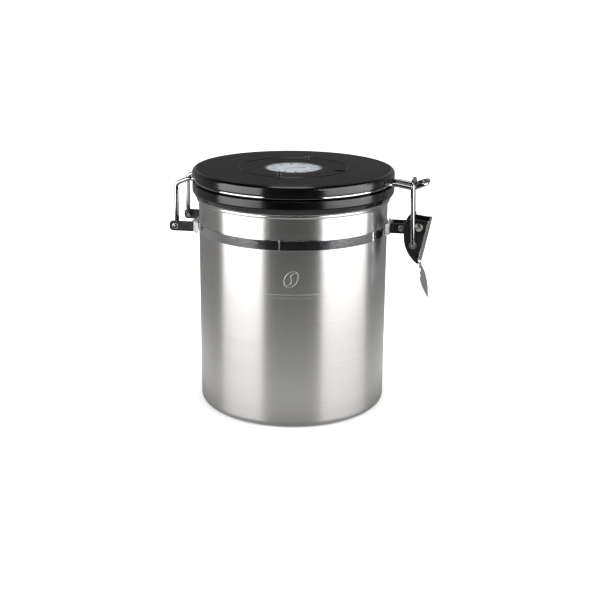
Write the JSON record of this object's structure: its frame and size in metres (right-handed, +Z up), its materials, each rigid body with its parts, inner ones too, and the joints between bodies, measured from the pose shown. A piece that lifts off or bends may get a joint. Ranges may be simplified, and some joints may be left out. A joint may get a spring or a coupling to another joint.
{
  "type": "food canister",
  "caption": "Round steel food canister with a hinged black lid, wire bail, over-centre latch and a turning date dial with a gas release valve.",
  "frame": {"origin": "centre of the base, on the surface the canister stands on", "axes": "+Z up along the body's axis, +X towards the latch, -X towards the lid hinge"},
  "size_m": [0.168, 0.13, 0.1583],
  "materials": {
    "brushed_body": "fine circumferential brushing",
    "polished_band": "mirror polished",
    "bracket_black": "gloss black paint",
    "wire_chrome": "bright plated wire",
    "rivet_steel": "satin",
    "lid_gloss": "high gloss black",
    "lid_satin": "satin charcoal",
    "dial_white": "printed white",
    "dial_clear": "clear",
    "silicone": "translucent grey silicone",
    "inner_plastic": "matte black",
    "filter_mesh": "white filter disc"
  },
  "bodies": {
    "canister": {"canister_wall": "brushed_body", "neck_band": "polished_band", "hinge_saddle": "polished_band", "hinge_bracket": "bracket_black", "latch_saddle": "polished_band", "latch_bracket": "bracket_black", "bracket_rivet": "rivet_steel", "lever_pivot_rivet": "rivet_steel"},
    "lid": {"lid_shell": "lid_gloss", "lid_skirt": "lid_gloss", "lid_panel": "lid_satin", "lid_inner_plate": "inner_plastic", "gasket": "silicone", "bail_wire": "wire_chrome", "dial_hub": "lid_gloss", "dial_face": "dial_white", "dial_lens": "dial_clear", "hub_screw": "rivet_steel", "hub_washer": "rivet_steel", "valve_housing": "inner_plastic", "valve_cap": "inner_plastic", "valve_filter": "filter_mesh"},
    "date_disc": {"date_disc": "lid_satin", "index_rivets": "rivet_steel", "rivet_collars": "bracket_black"},
    "valve_disc": {"valve_disc": "silicone"},
    "lever": {"lever_channel": "bracket_black", "lever_face": "polished_band", "lever_eyelets": "rivet_steel"},
    "link": {"latch_link": "wire_chrome"}
  },
  "joints": [
    {"name": "lid_hinge", "type": "hinge", "parent": "canister", "child": "lid", "pos_m": [-0.0743, 0, 0.1173], "axis": [0, -1, 0], "range_deg": [0, 105]},
    {"name": "date_disc_turn", "type": "hinge", "parent": "lid", "child": "date_disc", "pos_m": [0, 0, 0.1547], "axis": [0, 0, 1], "continuous": true},
    {"name": "valve_lift", "type": "slide", "parent": "lid", "child": "valve_disc", "axis": [0, 0, 1], "range_m": [0, 0.001]},
    {"name": "lever_turn", "type": "hinge", "parent": "canister", "child": "lever", "pos_m": [0.082, 0, 0.1214], "axis": [0, -1, 0], "range_deg": [0, 115]},
    {"name": "link_turn", "type": "hinge", "parent": "lever", "child": "link", "pos_m": [0.0787, 0, 0.1095], "axis": [0, -1, 0], "range_deg": [-80.5, 0]}
  ],
  "couplings": [
    {"joint": "link_turn", "follows": "lever_turn", "ratio": -0.7}
  ]
}
